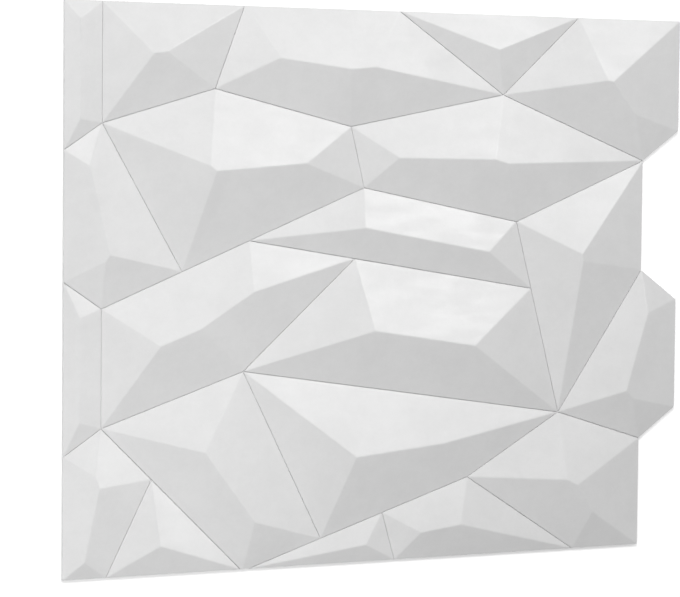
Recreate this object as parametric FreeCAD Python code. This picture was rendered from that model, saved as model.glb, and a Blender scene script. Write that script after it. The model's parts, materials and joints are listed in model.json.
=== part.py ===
import FreeCAD, Part
import math
import os

# A decorative wall panel moulded in one piece: a thin plate whose face is parted by narrow grooves into
# irregular cells, each roofed by flat facets. It lies on its plain back. X runs along the width as hung,
# Y up the wall and Z out of the face. The origin is at the middle of the back.

# Overall sizes, in millimetres
PANEL_WIDTH = 600.0
PANEL_HEIGHT = 500.0
EDGE_THICKNESS = 4.0

# Two tabs stand out of the right edge, the upper one flush with the top edge. A tab is measured along its
# tip, and the middle one starts this far below the top edge.
TAB_DEPTH = 38.0
TOP_TAB_LENGTH = 105.0
MIDDLE_TAB_LENGTH = 104.0
MIDDLE_TAB_DROP = 265.5

# Angle by which a tab widens towards its root, in degrees
TAB_END_SLOPE = 36.8

# Strip on the left edge, with small cells at the heights of the tabs that widen towards the edge
STRIP_WIDTH = 33.5
STRIP_END_SLOPE = 35.0

# Grooves between the cells. Half a groove runs round the rim, so two panels that meet show a whole one.
GROOVE_WIDTH = 0.6
GROOVE_DEPTH = 1.2

# Two grooves leave the bottom edge side by side, this far apart
GROOVE_PAIR_GAP = 6.5

# Pitch of a facet whose steepness is 1, in degrees
FACET_PITCH = 15.0

LEFT = -PANEL_WIDTH / 2
RIGHT = PANEL_WIDTH / 2
BOTTOM = -PANEL_HEIGHT / 2
TOP = PANEL_HEIGHT / 2
ROOT_X = RIGHT - TAB_DEPTH
STRIP_X = LEFT + STRIP_WIDTH
GROOVE_FLOOR = EDGE_THICKNESS - GROOVE_DEPTH
OUT = FreeCAD.Vector(0, 0, 1)

# Heights of the tab tips, and how much higher or lower a sloped end is at its far side
TOP_TAB_END = TOP - TOP_TAB_LENGTH
MIDDLE_TAB_START = TOP - MIDDLE_TAB_DROP
MIDDLE_TAB_END = MIDDLE_TAB_START - MIDDLE_TAB_LENGTH
TAB_FLARE = TAB_DEPTH * math.tan(math.radians(TAB_END_SLOPE))
STRIP_FLARE = STRIP_WIDTH * math.tan(math.radians(STRIP_END_SLOPE))


def across(share):
    return LEFT + PANEL_WIDTH * share


def height(share):
    return BOTTOM + PANEL_HEIGHT * share


def point(x, y):
    return FreeCAD.Vector(x, y, 0)


def between(first, last, share):
    return first + (last - first) * share


# Corners of the outline
top_left = point(LEFT, TOP)
top_right = point(RIGHT, TOP)
top_tab_tip = point(RIGHT, TOP_TAB_END)
top_tab_root = point(ROOT_X, TOP_TAB_END - TAB_FLARE)
middle_tab_upper_root = point(ROOT_X, MIDDLE_TAB_START + TAB_FLARE)
middle_tab_upper_tip = point(RIGHT, MIDDLE_TAB_START)
middle_tab_lower_tip = point(RIGHT, MIDDLE_TAB_END)
middle_tab_lower_root = point(ROOT_X, MIDDLE_TAB_END - TAB_FLARE)
bottom_right = point(ROOT_X, BOTTOM)
bottom_left = point(LEFT, BOTTOM)

# Groove ends on the top edge, and below them on the bottom edge, so that stacked panels meet
top_strip = point(STRIP_X, TOP)
top_second = point(across(0.270), TOP)
top_third = point(across(0.5165), TOP)
top_fourth = point(across(0.820), TOP)
bottom_strip = point(across(0.064), BOTTOM)
bottom_second_left = point(top_second.x, BOTTOM)
bottom_second_right = point(top_second.x + GROOVE_PAIR_GAP, BOTTOM)
bottom_third = point(top_third.x, BOTTOM)
bottom_fourth = point(top_fourth.x, BOTTOM)

# Groove ends on the left edge and groove corners along the strip, level with the tabs
left_upper = point(LEFT, TOP_TAB_END - STRIP_FLARE)
left_middle = point(LEFT, MIDDLE_TAB_START + STRIP_FLARE)
left_lower = point(LEFT, MIDDLE_TAB_END - STRIP_FLARE)
strip_upper = point(STRIP_X, TOP_TAB_END)
strip_middle = point(STRIP_X, MIDDLE_TAB_START)
strip_lower = point(STRIP_X, MIDDLE_TAB_END)

# Groove crossings inside the panel
crest_west = point(across(0.2255), height(0.853))
crest_middle = point(across(0.4395), height(0.790))
crest_east = point(across(0.691), height(0.8525))
waist_middle = point(across(0.4615), height(0.680))
waist_east = point(across(0.716), height(0.618))
knee_west = point(across(0.2715), height(0.3535))
knee_east = point(across(0.792), height(0.260))
foot_east = point(across(0.637), height(0.146))

# Grooves that end against the side of another groove
waist_tee_west = between(strip_middle, waist_middle, 0.2975)
waist_tee_middle = between(strip_middle, waist_middle, 0.5515)
waist_tee_east = between(waist_east, knee_east, 0.3475)
belly_tee = between(waist_tee_middle, waist_tee_east, 0.362)
foot_tee_west = between(strip_lower, bottom_second_left, 0.354)
foot_tee_middle = between(bottom_second_right, foot_east, 0.3235)
foot_tee_east = between(bottom_second_right, foot_east, 0.6035)

OUTLINE = [
    top_left,
    top_right,
    top_tab_tip,
    top_tab_root,
    middle_tab_upper_root,
    middle_tab_upper_tip,
    middle_tab_lower_tip,
    middle_tab_lower_root,
    bottom_right,
    bottom_left,
]

# Each cell lists its corners clockwise seen from the front, and with each corner the steepness of the
# facet that climbs from the side that runs on to the next corner. A side with no facet is cut square.
STRIP_CELLS = [
    [
        (top_left, 0.98),
        (top_strip, 0.76),
        (strip_upper, 1.10),
        (left_upper, 1.16),
    ],
    [
        (left_middle, 0.94),
        (strip_middle, 0.82),
        (strip_lower, 1.00),
        (left_lower, 1.24),
    ],
]

TOP_ROW = [
    [
        (top_strip, 1.06),
        (top_second, 0.82),
        (crest_west, 1.04),
        (strip_upper, 1.10),
    ],
    [
        (crest_west, 1.02),
        (top_second, 0.98),
        (top_third, 0.86),
        (crest_east, 1.04),
        (crest_middle, 1.10),
    ],
    [
        (top_third, 0.98),
        (top_fourth, 0.90),
        (crest_east, 1.12),
    ],
    [
        (crest_east, 1.04),
        (top_fourth, 1.04),
        (top_right, 0.78),
        (top_tab_tip, 0.94),
        (top_tab_root, 1.18),
    ],
]

SECOND_ROW = [
    [
        (left_upper, 1.00),
        (strip_upper, 0.82),
        (waist_tee_west, 1.02),
        (strip_middle, 1.10),
        (left_middle, 1.10),
    ],
    [
        (strip_upper, 1.10),
        (crest_west, 1.00),
        (crest_middle, 0.82),
        (waist_middle, 1.00),
        (waist_tee_west, 1.08),
    ],
    [
        (crest_middle, 1.00),
        (crest_east, 0.92),
        (top_tab_root, 0.98),
        (waist_east, 1.10),
        (waist_middle, 1.00),
    ],
]

MIDDLE_ROWS = [
    [
        (waist_middle, 0.94),
        (waist_east, 0.84),
        (waist_tee_east, 1.18),
        (waist_tee_middle, 1.04),
    ],
    [
        (strip_middle, 1.04),
        (waist_tee_middle, 0.98),
        (belly_tee, 0.90),
        (knee_west, 1.02),
        (strip_lower, 1.04),
    ],
    [
        (belly_tee, 0.98),
        (waist_tee_east, 0.80),
        (knee_east, 1.16),
        (knee_west, 1.06),
    ],
    [
        (waist_east, 1.12),
        (top_tab_root, 0.82),
        (middle_tab_upper_root, 0.90),
        (knee_east, 1.12),
    ],
    [
        (middle_tab_upper_root, 0.90),
        (middle_tab_upper_tip, 0.80),
        (middle_tab_lower_tip, 1.04),
        (middle_tab_lower_root, 1.24),
        (knee_east, 1.06),
    ],
]

LOWER_ROW = [
    [
        (strip_lower, 1.04),
        (knee_west, 0.82),
        (foot_tee_middle, 1.04),
        (bottom_second_right, None),
        (bottom_second_left, 1.12),
    ],
    [
        (knee_west, 0.98),
        (knee_east, 0.94),
        (foot_east, 1.00),
        (foot_tee_middle, 1.06),
    ],
    [
        (knee_east, 0.94),
        (middle_tab_lower_root, 0.78),
        (bottom_right, 1.20),
        (bottom_fourth, 1.12),
        (foot_east, 1.00),
    ],
]

BOTTOM_ROW = [
    [
        (left_lower, 1.00),
        (strip_lower, 0.88),
        (foot_tee_west, 0.80),
        (bottom_strip, 1.28),
        (bottom_left, 1.10),
    ],
    [
        (foot_tee_west, 0.86),
        (bottom_second_left, 1.16),
        (bottom_strip, 1.00),
    ],
    [
        (bottom_second_right, 0.98),
        (foot_tee_east, 0.82),
        (bottom_third, 1.24),
    ],
    [
        (foot_tee_east, 0.98),
        (foot_east, 0.88),
        (bottom_fourth, 1.18),
        (bottom_third, 1.00),
    ],
]

CELLS = STRIP_CELLS + TOP_ROW + SECOND_ROW + MIDDLE_ROWS + LOWER_ROW + BOTTOM_ROW


def direction(first, last):
    return (last - first).normalize()


def inward(along):
    return along.cross(OUT)


def sides_of(corners):
    return list(zip(corners, corners[1:] + corners[:1]))


def meeting_point(start, along, other_start, other_along):
    """Crossing of two straight lines in plan."""
    normal = inward(other_along)
    return start + along * ((other_start - start).dot(normal) / along.dot(normal))


def inset_corners(corners):
    """Corners of a cell once half a groove is taken off each side."""
    lines = []
    for first, last in sides_of(corners):
        along = direction(first, last)
        lines.append((first + inward(along) * GROOVE_WIDTH / 2, along))
    return [meeting_point(*before, *after) for before, after in zip(lines[-1:] + lines[:-1], lines)]


def prism(corners, low, high):
    """Upright prism on a flat polygon."""
    loop = [corner + OUT * low for corner in corners]
    return Part.Face(Part.makePolygon(loop + loop[:1])).extrude(OUT * (high - low))


def space_above_facet(first, last, rise):
    """Wedge of everything above the plane that climbs inward from one side of a cell."""
    reach = PANEL_WIDTH + PANEL_HEIGHT
    along = direction(first, last)
    climb = (inward(along) + OUT * rise) * reach
    start = first - along * reach + OUT * EDGE_THICKNESS
    lid = OUT * 2 * reach
    loop = [start - climb, start + climb, start + climb + lid, start - climb + lid, start - climb]
    return Part.Face(Part.makePolygon(loop)).extrude(along * 2 * reach)


def roofed_cell(cell):
    """Body of a cell, from inside the plate up to its facets."""
    corners = inset_corners([corner for corner, steepness in cell])
    body = prism(corners, GROOVE_FLOOR / 2, EDGE_THICKNESS + PANEL_HEIGHT)
    for (first, last), (corner, steepness) in zip(sides_of(corners), cell):
        if steepness is not None:
            rise = math.tan(math.radians(FACET_PITCH)) * steepness
            body = body.cut(space_above_facet(first, last, rise))
    return body


plate = prism(OUTLINE, 0, GROOVE_FLOOR)
panel = plate.multiFuse([roofed_cell(cell) for cell in CELLS]).removeSplitter().Solids[0]

os.makedirs("parts", exist_ok=True)
panel.exportStep("parts/wall_panel.step")
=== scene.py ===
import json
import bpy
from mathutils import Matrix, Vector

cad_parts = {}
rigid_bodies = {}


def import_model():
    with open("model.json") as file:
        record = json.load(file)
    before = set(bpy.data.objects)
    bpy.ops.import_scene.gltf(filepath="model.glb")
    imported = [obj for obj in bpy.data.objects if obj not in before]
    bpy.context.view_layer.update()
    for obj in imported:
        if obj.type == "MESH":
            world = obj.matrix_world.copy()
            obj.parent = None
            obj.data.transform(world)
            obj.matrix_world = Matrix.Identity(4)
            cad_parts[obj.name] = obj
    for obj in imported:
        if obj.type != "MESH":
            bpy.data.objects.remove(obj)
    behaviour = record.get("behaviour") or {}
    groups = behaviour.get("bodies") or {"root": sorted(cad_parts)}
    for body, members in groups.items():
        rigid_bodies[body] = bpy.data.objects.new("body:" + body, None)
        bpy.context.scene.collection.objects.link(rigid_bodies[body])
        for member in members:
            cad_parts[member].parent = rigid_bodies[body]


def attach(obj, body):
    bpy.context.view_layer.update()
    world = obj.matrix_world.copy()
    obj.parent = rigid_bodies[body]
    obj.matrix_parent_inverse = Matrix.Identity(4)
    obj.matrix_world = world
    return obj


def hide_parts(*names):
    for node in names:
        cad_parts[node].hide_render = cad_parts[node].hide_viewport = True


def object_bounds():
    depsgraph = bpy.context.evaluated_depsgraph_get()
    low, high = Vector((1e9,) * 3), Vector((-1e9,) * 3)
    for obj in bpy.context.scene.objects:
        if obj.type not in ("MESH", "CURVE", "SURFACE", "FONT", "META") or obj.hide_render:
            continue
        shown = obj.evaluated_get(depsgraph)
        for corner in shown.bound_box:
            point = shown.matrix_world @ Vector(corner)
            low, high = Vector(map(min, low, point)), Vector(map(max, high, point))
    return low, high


bl_info = {
    "name": "Faceted Wall Panel",
    "version": (1, 0, 0),
    "blender": (4, 5, 0),
    "location": "View3D > Sidebar > Wall Panel",
    "description": "Finishes a moulded wall panel with a faceted relief and sets it on a studio floor",
    "category": "Object",
}

from math import radians

import bmesh
import bpy
from mathutils import Vector

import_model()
CAD_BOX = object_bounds()

NODE = "wall_panel"
BODY = "root"

# Upward part of a face's normal: above UPRIGHT on a facet, below minus UPRIGHT on the back, almost 1 on the
# floor of a groove, and within WALL of 0 on a groove's wall or the panel's edge
UPRIGHT = 0.8
GROOVE_FLOOR = 0.9999
WALL = 0.1

# How near points are to be merged, and how flat faces are to be joined, in the solid's loose triangles
MERGE_DISTANCE = 0.00001
FLAT_ANGLE = radians(0.2)

# Steps in the softening of an edge
RIDGE_STEPS = 4
LIP_STEPS = 2

# Distances from the middle of the panel between which the floor's glow grows to full white
GLOW_STARTS = 0.4
GLOW_ENDS = 1.5

# Depth of the floor below the panel's back
FLOOR_GAP = 0.0002

WHITE = (1.0, 1.0, 1.0, 1.0)


class WallPanelSettings(bpy.types.PropertyGroup):
    ridge_width: bpy.props.FloatProperty(
        name="Ridge Width",
        description="How far the softening of a ridge or hip reaches down each facet",
        default=0.0009,
        unit="LENGTH",
    )
    lip_width: bpy.props.FloatProperty(
        name="Lip Width",
        description="How far the edges of the grooves and of the panel are rounded",
        default=0.00015,
        unit="LENGTH",
    )
    coat_colour: bpy.props.FloatVectorProperty(
        name="Coat Colour",
        description="Colour of the matt coat on the face",
        default=(0.80, 0.80, 0.80),
        subtype="COLOR",
        size=3,
    )
    back_colour: bpy.props.FloatVectorProperty(
        name="Back Colour",
        description="Colour of the uncoated back",
        default=(0.74, 0.73, 0.70),
        subtype="COLOR",
        size=3,
    )


class WallPanelStageSettings(bpy.types.PropertyGroup):
    floor_size: bpy.props.FloatProperty(
        name="Floor Size",
        description="Width of the square floor",
        default=8.0,
        unit="LENGTH",
    )
    floor_colour: bpy.props.FloatVectorProperty(
        name="Floor Colour",
        description="Colour of the floor",
        default=(0.95, 0.95, 0.95),
        subtype="COLOR",
        size=3,
    )
    floor_glow: bpy.props.FloatProperty(
        name="Floor Glow",
        description="White added to the floor beside the panel where the camera sees it",
        default=0.32,
    )
    sky_strength: bpy.props.FloatProperty(
        name="Sky Strength",
        description="Even light from all around",
        default=0.142,
    )
    key_power: bpy.props.FloatProperty(
        name="Key Power",
        description="Power of the large lamp beyond the top left corner of the panel",
        default=44.9,
        unit="POWER",
    )
    sheen_power: bpy.props.FloatProperty(
        name="Sheen Power",
        description="Power of the lamp beyond the top right corner, for the sheen of the facets that face it",
        default=16.2,
        unit="POWER",
    )
    glint_power: bpy.props.FloatProperty(
        name="Glint Power",
        description="Power of the narrow lamp on the right, for the facets near the bottom left corner",
        default=17.5,
        unit="POWER",
    )
    streak_power: bpy.props.FloatProperty(
        name="Streak Power",
        description="Power of the small lamp beside the sheen lamp, for the facets at the middle",
        default=2.8,
        unit="POWER",
    )
    fill_power: bpy.props.FloatProperty(
        name="Fill Power",
        description="Power of the lamp beyond the bottom left corner",
        default=6.5,
        unit="POWER",
    )
    camera_place: bpy.props.FloatVectorProperty(
        name="Camera Place",
        description="Where the camera stands",
        default=(-0.7447, 0.1182, 1.8056),
        subtype="TRANSLATION",
        unit="LENGTH",
        size=3,
    )
    camera_turn: bpy.props.FloatVectorProperty(
        name="Camera Turn",
        description="How the camera is turned from looking straight down",
        default=(radians(-2.68), radians(-21.38), radians(0.58)),
        subtype="EULER",
        size=3,
    )
    lens_shift: bpy.props.FloatVectorProperty(
        name="Lens Shift",
        description="How far the lens is shifted across and up, in picture widths",
        default=(-0.0114, -0.0727),
        size=2,
    )
    focal_length: bpy.props.FloatProperty(
        name="Focal Length",
        description="Focal length of the lens in millimetres",
        default=113.8,
        unit="CAMERA",
    )


def deselect_all():
    for thing in bpy.context.view_layer.objects:
        thing.select_set(False)


def make_active(thing):
    deselect_all()
    thing.select_set(True)
    bpy.context.view_layer.objects.active = thing


def add_noise(tree, place, detail):
    """Noise texture at a place."""
    noise = tree.nodes.new("ShaderNodeTexNoise")
    noise.inputs["Detail"].default_value = detail
    tree.links.new(place, noise.inputs["Vector"])
    return noise


def widen(tree, value, low, high):
    """Spreads the values from low to high softly over the whole range from 0 to 1."""
    spread = tree.nodes.new("ShaderNodeMapRange")
    spread.interpolation_type = "SMOOTHSTEP"
    spread.inputs["From Min"].default_value = low
    spread.inputs["From Max"].default_value = high
    tree.links.new(value, spread.inputs["Value"])
    return spread.outputs["Result"]


def mottling_group():
    """Node group that gives soft blotches, streaks along X and a fine grain, all from 0 to 1."""
    group = bpy.data.node_groups.new("Mottling", "ShaderNodeTree")
    sockets = group.interface
    sockets.new_socket("Vector", in_out="INPUT", socket_type="NodeSocketVector")
    for name in ("Blotch Scale", "Grain Scale"):
        sockets.new_socket(name, in_out="INPUT", socket_type="NodeSocketFloat")
    for name in ("Blotches", "Streaks", "Grain"):
        sockets.new_socket(name, in_out="OUTPUT", socket_type="NodeSocketFloat")
    entry = group.nodes.new("NodeGroupInput").outputs
    leave = group.nodes.new("NodeGroupOutput").inputs
    blotches = add_noise(group, entry["Vector"], detail=6.0)
    blotches.inputs["Roughness"].default_value = 0.85
    group.links.new(entry["Blotch Scale"], blotches.inputs["Scale"])
    group.links.new(widen(group, blotches.outputs["Fac"], 0.3, 0.7), leave["Blotches"])
    stretch = group.nodes.new("ShaderNodeMapping")
    stretch.inputs["Scale"].default_value = (0.25, 1.0, 1.0)
    group.links.new(entry["Vector"], stretch.inputs["Vector"])
    streaks = add_noise(group, stretch.outputs["Vector"], detail=3.0)
    streaks.inputs["Scale"].default_value = 90.0
    group.links.new(widen(group, streaks.outputs["Fac"], 0.36, 0.64), leave["Streaks"])
    grain = add_noise(group, entry["Vector"], detail=3.0)
    group.links.new(entry["Grain Scale"], grain.inputs["Scale"])
    group.links.new(grain.outputs["Fac"], leave["Grain"])
    return group


def new_material(name):
    """New material, its node tree and its shader."""
    material = bpy.data.materials.new(name)
    material.use_nodes = True
    return material, material.node_tree, material.node_tree.nodes["Principled BSDF"]


def place_mottling(tree, mottling, blotch_scale, grain_scale):
    """Outputs of the mottling group, placed in a material at its own scales."""
    mottle = tree.nodes.new("ShaderNodeGroup")
    mottle.node_tree = mottling
    mottle.inputs["Blotch Scale"].default_value = blotch_scale
    mottle.inputs["Grain Scale"].default_value = grain_scale
    tree.links.new(tree.nodes.new("ShaderNodeTexCoord").outputs["Object"], mottle.inputs["Vector"])
    return mottle.outputs


def shade(colour, factor):
    return (colour[0] * factor, colour[1] * factor, colour[2] * factor, 1.0)


def vary_colour(tree, shader, value, colour, darkest, lightest):
    """Lets the colour run from its darkest to its lightest shade with a value."""
    mix = tree.nodes.new("ShaderNodeMix")
    mix.data_type = "RGBA"
    mix.inputs["A"].default_value = shade(colour, darkest)
    mix.inputs["B"].default_value = shade(colour, lightest)
    tree.links.new(value, mix.inputs["Factor"])
    tree.links.new(mix.outputs["Result"], shader.inputs["Base Color"])


def vary_roughness(tree, shader, value, smoothest, roughest):
    """Lets the roughness run from its least to its most with a value."""
    rough = tree.nodes.new("ShaderNodeMapRange")
    rough.inputs["To Min"].default_value = smoothest
    rough.inputs["To Max"].default_value = roughest
    tree.links.new(value, rough.inputs["Value"])
    tree.links.new(rough.outputs["Result"], shader.inputs["Roughness"])


def raise_grain(tree, shader, height, strength, distance):
    """Lets a height stand out of the surface as bump."""
    bump = tree.nodes.new("ShaderNodeBump")
    bump.inputs["Strength"].default_value = strength
    bump.inputs["Distance"].default_value = distance
    tree.links.new(height, bump.inputs["Height"])
    tree.links.new(bump.outputs["Normal"], shader.inputs["Normal"])


def matt_coat(settings, mottling):
    """White matt coat of the face: faint blotches, orange-peel grain and a sheen in streaks."""
    material, tree, shader = new_material("matt_coat")
    mottle = place_mottling(tree, mottling, blotch_scale=14.0, grain_scale=700.0)
    vary_colour(tree, shader, mottle["Blotches"], settings.coat_colour, darkest=0.966, lightest=1.022)
    vary_roughness(tree, shader, mottle["Streaks"], smoothest=0.305, roughest=0.37)
    raise_grain(tree, shader, mottle["Grain"], strength=0.12, distance=0.0002)
    return material


def bare_back(settings, mottling):
    """Uncoated back: a little warmer and rougher than the coat."""
    material, tree, shader = new_material("bare_back")
    shader.inputs["Specular IOR Level"].default_value = 0.3
    mottle = place_mottling(tree, mottling, blotch_scale=30.0, grain_scale=500.0)
    vary_colour(tree, shader, mottle["Blotches"], settings.back_colour, darkest=0.94, lightest=1.03)
    vary_roughness(tree, shader, mottle["Grain"], smoothest=0.75, roughest=0.9)
    raise_grain(tree, shader, mottle["Grain"], strength=0.4, distance=0.0003)
    return material


def on_ridge(first, second):
    """Whether an edge lies between two facets, from the upward parts of their normals."""
    return first > UPRIGHT and second > UPRIGHT and first < GROOVE_FLOOR


def on_lip(first, second):
    """Whether an edge lies between a wall and a face that is none."""
    return (abs(first) < WALL) != (abs(second) < WALL)


def select_edges(thing, wanted):
    """Selects the edges of a mesh in edit mode that pass a test on their two faces."""
    mesh = bmesh.from_edit_mesh(thing.data)
    bpy.ops.mesh.select_all(action="DESELECT")
    for edge in mesh.edges:
        if len(edge.link_faces) == 2 and wanted(*(face.normal.z for face in edge.link_faces)):
            edge.select_set(True)
    bmesh.update_edit_mesh(thing.data)


def soften_edges(thing, wanted, width, steps):
    """Rounds the edges of a mesh in edit mode that pass a test."""
    select_edges(thing, wanted)
    bpy.ops.mesh.bevel(offset=width, segments=steps, affect="EDGES", clamp_overlap=True)


class WALLPANEL_OT_mould_panel(bpy.types.Operator):
    """Softens a copy of the panel's solid as a mould does, and coats it"""

    bl_idname = "wall_panel.mould_panel"
    bl_label = "Mould Panel"

    def execute(self, context):
        settings = context.scene.wall_panel
        make_active(bpy.data.objects[NODE])
        bpy.ops.object.duplicate()
        panel = context.active_object
        panel.name = "moulded_panel"
        bpy.ops.object.mode_set(mode="EDIT")
        bpy.ops.mesh.select_mode(type="EDGE")
        bpy.ops.mesh.select_all(action="SELECT")
        bpy.ops.mesh.remove_doubles(threshold=MERGE_DISTANCE)
        bpy.ops.mesh.dissolve_limited(angle_limit=FLAT_ANGLE)
        soften_edges(panel, on_ridge, settings.ridge_width, RIDGE_STEPS)
        soften_edges(panel, on_lip, settings.lip_width, LIP_STEPS)
        bpy.ops.object.mode_set(mode="OBJECT")
        bpy.ops.object.shade_flat()
        mottling = mottling_group()
        panel.data.materials.clear()
        panel.data.materials.append(matt_coat(settings, mottling))
        panel.data.materials.append(bare_back(settings, mottling))
        for face in panel.data.polygons:
            face.material_index = 1 if face.normal.z < -UPRIGHT else 0
        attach(panel, BODY)
        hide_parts(NODE)
        return {"FINISHED"}


def white_floor(settings):
    """Pale floor that takes the shadow, and is white where the camera sees it lit or far from the panel."""
    material, tree, shader = new_material("white_floor")
    nodes, links = tree.nodes, tree.links
    shader.inputs["Base Color"].default_value = shade(settings.floor_colour, 1.0)
    shader.inputs["Roughness"].default_value = 0.9
    shader.inputs["Specular IOR Level"].default_value = 0.0
    shader.inputs["Emission Color"].default_value = WHITE
    rays = nodes.new("ShaderNodeLightPath").outputs
    seen = nodes.new("ShaderNodeMath")
    seen.operation = "MAXIMUM"
    links.new(rays["Is Camera Ray"], seen.inputs[0])
    links.new(rays["Is Glossy Ray"], seen.inputs[1])
    distance = nodes.new("ShaderNodeVectorMath")
    distance.operation = "LENGTH"
    links.new(nodes.new("ShaderNodeTexCoord").outputs["Object"], distance.inputs[0])
    outward = nodes.new("ShaderNodeMapRange")
    outward.inputs["From Min"].default_value = GLOW_STARTS
    outward.inputs["From Max"].default_value = GLOW_ENDS
    outward.inputs["To Min"].default_value = settings.floor_glow
    outward.inputs["To Max"].default_value = 1.0
    links.new(distance.outputs["Value"], outward.inputs["Value"])
    glow = nodes.new("ShaderNodeMath")
    glow.operation = "MULTIPLY"
    links.new(seen.outputs["Value"], glow.inputs[0])
    links.new(outward.outputs["Result"], glow.inputs[1])
    links.new(glow.outputs["Value"], shader.inputs["Emission Strength"])
    return material


def lay_floor(settings):
    """Large floor under the panel's back."""
    deselect_all()
    lowest = CAD_BOX[0][2]
    bpy.ops.mesh.primitive_plane_add(size=settings.floor_size, location=(0, 0, lowest - FLOOR_GAP))
    floor = bpy.context.active_object
    floor.name = "floor"
    floor.data.materials.append(white_floor(settings))


def add_lamp(kind, name, place, aim, power):
    """Lamp at a place, turned to an aim."""
    bpy.ops.object.light_add(type=kind, location=place)
    lamp = bpy.context.active_object
    lamp.name = name
    lamp.data.energy = power
    lamp.rotation_euler = (Vector(aim) - lamp.location).to_track_quat("-Z", "Y").to_euler()
    return lamp.data


def add_soft_lamp(name, place, size, power):
    """Square soft lamp turned to the middle of the panel."""
    light = add_lamp("AREA", name, place, (0, 0, 0), power)
    light.shape = "SQUARE"
    light.size = size


def add_narrow_lamp(name, place, aim, cone, radius, power):
    """Round lamp whose light is kept to a cone with a soft edge."""
    light = add_lamp("SPOT", name, place, aim, power)
    light.spot_size = cone
    light.spot_blend = 1.0
    light.shadow_soft_size = radius


def set_lamps(settings):
    """Four soft lamps round the panel, and a narrow one aimed near its bottom left corner."""
    add_soft_lamp("key_lamp", place=(-0.94, 1.66, 2.16), size=0.86, power=settings.key_power)
    add_soft_lamp("sheen_lamp", place=(1.3, 1.25, 2.1), size=0.9, power=settings.sheen_power)
    add_soft_lamp("streak_lamp", place=(1.26, 1.0, 2.0), size=0.35, power=settings.streak_power)
    add_soft_lamp("fill_lamp", place=(-0.9, -0.9, 1.2), size=0.8, power=settings.fill_power)
    add_narrow_lamp(
        "glint_lamp",
        place=(1.12, 0.16, 2.0),
        aim=(-0.23, -0.16, 0.0),
        cone=radians(11.0),
        radius=0.1,
        power=settings.glint_power,
    )


def set_sky(settings):
    """Even white sky."""
    world = bpy.data.worlds.new("studio")
    bpy.context.scene.world = world
    world.use_nodes = True
    sky = world.node_tree.nodes["Background"]
    sky.inputs["Color"].default_value = WHITE
    sky.inputs["Strength"].default_value = settings.sky_strength


def set_camera(settings):
    """Camera that looks down on the panel from its left."""
    bpy.ops.object.camera_add(location=settings.camera_place, rotation=settings.camera_turn)
    camera = bpy.context.active_object
    camera.name = "camera"
    camera.data.lens = settings.focal_length
    camera.data.shift_x = settings.lens_shift[0]
    camera.data.shift_y = settings.lens_shift[1]
    bpy.context.scene.camera = camera


class WALLPANEL_OT_set_stage(bpy.types.Operator):
    """Lays the floor and sets the lamps, the sky and the camera"""

    bl_idname = "wall_panel.set_stage"
    bl_label = "Set Stage"

    def execute(self, context):
        settings = context.scene.wall_panel_stage
        lay_floor(settings)
        set_lamps(settings)
        set_sky(settings)
        set_camera(settings)
        context.scene.view_settings.view_transform = "Standard"
        return {"FINISHED"}


class WALLPANEL_PT_sidebar(bpy.types.Panel):
    bl_label = "Wall Panel"
    bl_idname = "WALLPANEL_PT_sidebar"
    bl_space_type = "VIEW_3D"
    bl_region_type = "UI"
    bl_category = "Wall Panel"

    def draw(self, context):
        for settings, operator in (
            (context.scene.wall_panel, WALLPANEL_OT_mould_panel),
            (context.scene.wall_panel_stage, WALLPANEL_OT_set_stage),
        ):
            box = self.layout.box()
            for name in settings.__annotations__:
                box.prop(settings, name)
            box.operator(operator.bl_idname)


CLASSES = (
    WallPanelSettings,
    WallPanelStageSettings,
    WALLPANEL_OT_mould_panel,
    WALLPANEL_OT_set_stage,
    WALLPANEL_PT_sidebar,
)


def register():
    for kind in CLASSES:
        bpy.utils.register_class(kind)
    bpy.types.Scene.wall_panel = bpy.props.PointerProperty(type=WallPanelSettings)
    bpy.types.Scene.wall_panel_stage = bpy.props.PointerProperty(type=WallPanelStageSettings)


def unregister():
    del bpy.types.Scene.wall_panel_stage
    del bpy.types.Scene.wall_panel
    for kind in reversed(CLASSES):
        bpy.utils.unregister_class(kind)


def main():
    register()
    bpy.ops.wall_panel.mould_panel()
    bpy.ops.wall_panel.set_stage()


if __name__ == "__main__":
    main()
